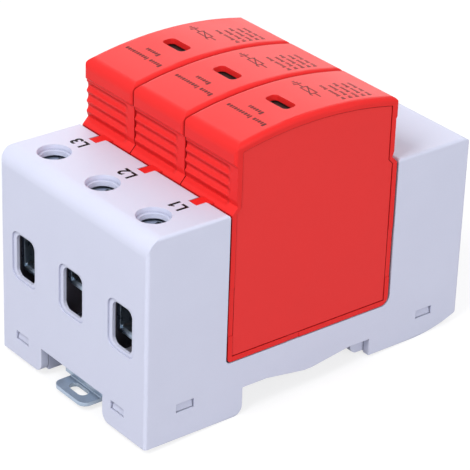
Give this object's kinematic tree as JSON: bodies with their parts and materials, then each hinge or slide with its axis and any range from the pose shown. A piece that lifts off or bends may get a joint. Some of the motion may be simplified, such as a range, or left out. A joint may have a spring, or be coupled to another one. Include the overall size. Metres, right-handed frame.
{
  "type": "rail-mounted surge arrester",
  "caption": "Surge arrester for a 35 mm rail: light grey terminal base with red plug-in modules side by side, wire clamps at the front and a spring clip below.",
  "frame": {"origin": "on the rail seat, at the middle of the rail and of the width", "axes": "+X along the rail, -Y towards the line terminals, +Z away from the rail"},
  "size_m": [0.054, 0.089, 0.067],
  "materials": {
    "housing": "satin moulded, light grey",
    "plate": "satin moulded, light grey",
    "module": "satin moulded, red",
    "cover": "fine matt moulded, red",
    "zinc": "zinc plated",
    "copper": "bare copper alloy",
    "ceramic": "dipped coating",
    "flag": "dark moulded"
  },
  "bodies": {
    "base": {"base_housing": "housing", "base_plate": "plate", "clip_spring": "zinc", "line_contact_1": "copper", "line_contact_2": "copper", "line_contact_3": "copper", "earth_bar": "copper"},
    "rail_clip": {"rail_clip": "zinc"},
    "earth_cage": {"earth_cage": "zinc"},
    "earth_screw": {"earth_screw": "zinc"},
    "line_cage_1": {"line_cage_1": "zinc"},
    "line_screw_1": {"line_screw_1": "zinc"},
    "module_1": {"module_shell_1": "module", "module_cover_1": "cover", "varistor_1": "ceramic", "line_blade_1": "copper", "earth_blade_1": "copper", "disconnect_arm_1": "copper"},
    "flag_1": {"indicator_flag_1": "flag"},
    "line_cage_2": {"line_cage_2": "zinc"},
    "line_screw_2": {"line_screw_2": "zinc"},
    "module_2": {"module_shell_2": "module", "module_cover_2": "cover", "varistor_2": "ceramic", "line_blade_2": "copper", "earth_blade_2": "copper", "disconnect_arm_2": "copper"},
    "flag_2": {"indicator_flag_2": "flag"},
    "line_cage_3": {"line_cage_3": "zinc"},
    "line_screw_3": {"line_screw_3": "zinc"},
    "module_3": {"module_shell_3": "module", "module_cover_3": "cover", "varistor_3": "ceramic", "line_blade_3": "copper", "earth_blade_3": "copper", "disconnect_arm_3": "copper"},
    "flag_3": {"indicator_flag_3": "flag"}
  },
  "joints": [
    {"name": "rail_clip_pull", "type": "slide", "parent": "base", "child": "rail_clip", "axis": [0, -1, 0], "range_m": [0, 0.0042], "stiffness_N_per_m": 1500, "springref_m": -0.003, "deforming": ["clip_spring"]},
    {"name": "module_1_lift", "type": "slide", "parent": "base", "child": "module_1", "axis": [0, 0, 1], "range_m": [0, 0.045]},
    {"name": "flag_1_trip", "type": "slide", "parent": "module_1", "child": "flag_1", "axis": [0, 1, 0], "range_m": [0, 0.0055]},
    {"name": "module_2_lift", "type": "slide", "parent": "base", "child": "module_2", "axis": [0, 0, 1], "range_m": [0, 0.045]},
    {"name": "flag_2_trip", "type": "slide", "parent": "module_2", "child": "flag_2", "axis": [0, 1, 0], "range_m": [0, 0.0055]},
    {"name": "module_3_lift", "type": "slide", "parent": "base", "child": "module_3", "axis": [0, 0, 1], "range_m": [0, 0.045]},
    {"name": "flag_3_trip", "type": "slide", "parent": "module_3", "child": "flag_3", "axis": [0, 1, 0], "range_m": [0, 0.0055]},
    {"name": "line_clamp_1_lift", "type": "slide", "parent": "base", "child": "line_cage_1", "axis": [0, 0, 1], "range_m": [-0.0029, 0.0064]},
    {"name": "line_clamp_1_screw_turn", "type": "hinge", "parent": "base", "child": "line_screw_1", "pos_m": [0.018, -0.036, 0.035], "axis": [0, 0, -1], "range_deg": [-1310, 2885]},
    {"name": "line_clamp_2_lift", "type": "slide", "parent": "base", "child": "line_cage_2", "axis": [0, 0, 1], "range_m": [-0.0062, 0.0031]},
    {"name": "line_clamp_2_screw_turn", "type": "hinge", "parent": "base", "child": "line_screw_2", "pos_m": [0, -0.036, 0.035], "axis": [0, 0, -1], "range_deg": [-2795, 1400]},
    {"name": "line_clamp_3_lift", "type": "slide", "parent": "base", "child": "line_cage_3", "axis": [0, 0, 1], "range_m": [-0.0016, 0.0077]},
    {"name": "line_clamp_3_screw_turn", "type": "hinge", "parent": "base", "child": "line_screw_3", "pos_m": [-0.018, -0.036, 0.035], "axis": [0, 0, -1], "range_deg": [-725, 3470]},
    {"name": "earth_clamp_lift", "type": "slide", "parent": "base", "child": "earth_cage", "axis": [0, 0, 1], "range_m": [-0.0036, 0.0057]},
    {"name": "earth_clamp_screw_turn", "type": "hinge", "parent": "base", "child": "earth_screw", "pos_m": [0, 0.036, 0.035], "axis": [0, 0, -1], "range_deg": [-1625, 2570]}
  ],
  "couplings": [
    {"joint": "line_clamp_1_screw_turn", "follows": "line_clamp_1_lift", "rad_per_m": 7854},
    {"joint": "line_clamp_2_screw_turn", "follows": "line_clamp_2_lift", "rad_per_m": 7854},
    {"joint": "line_clamp_3_screw_turn", "follows": "line_clamp_3_lift", "rad_per_m": 7854},
    {"joint": "earth_clamp_screw_turn", "follows": "earth_clamp_lift", "rad_per_m": 7854}
  ]
}
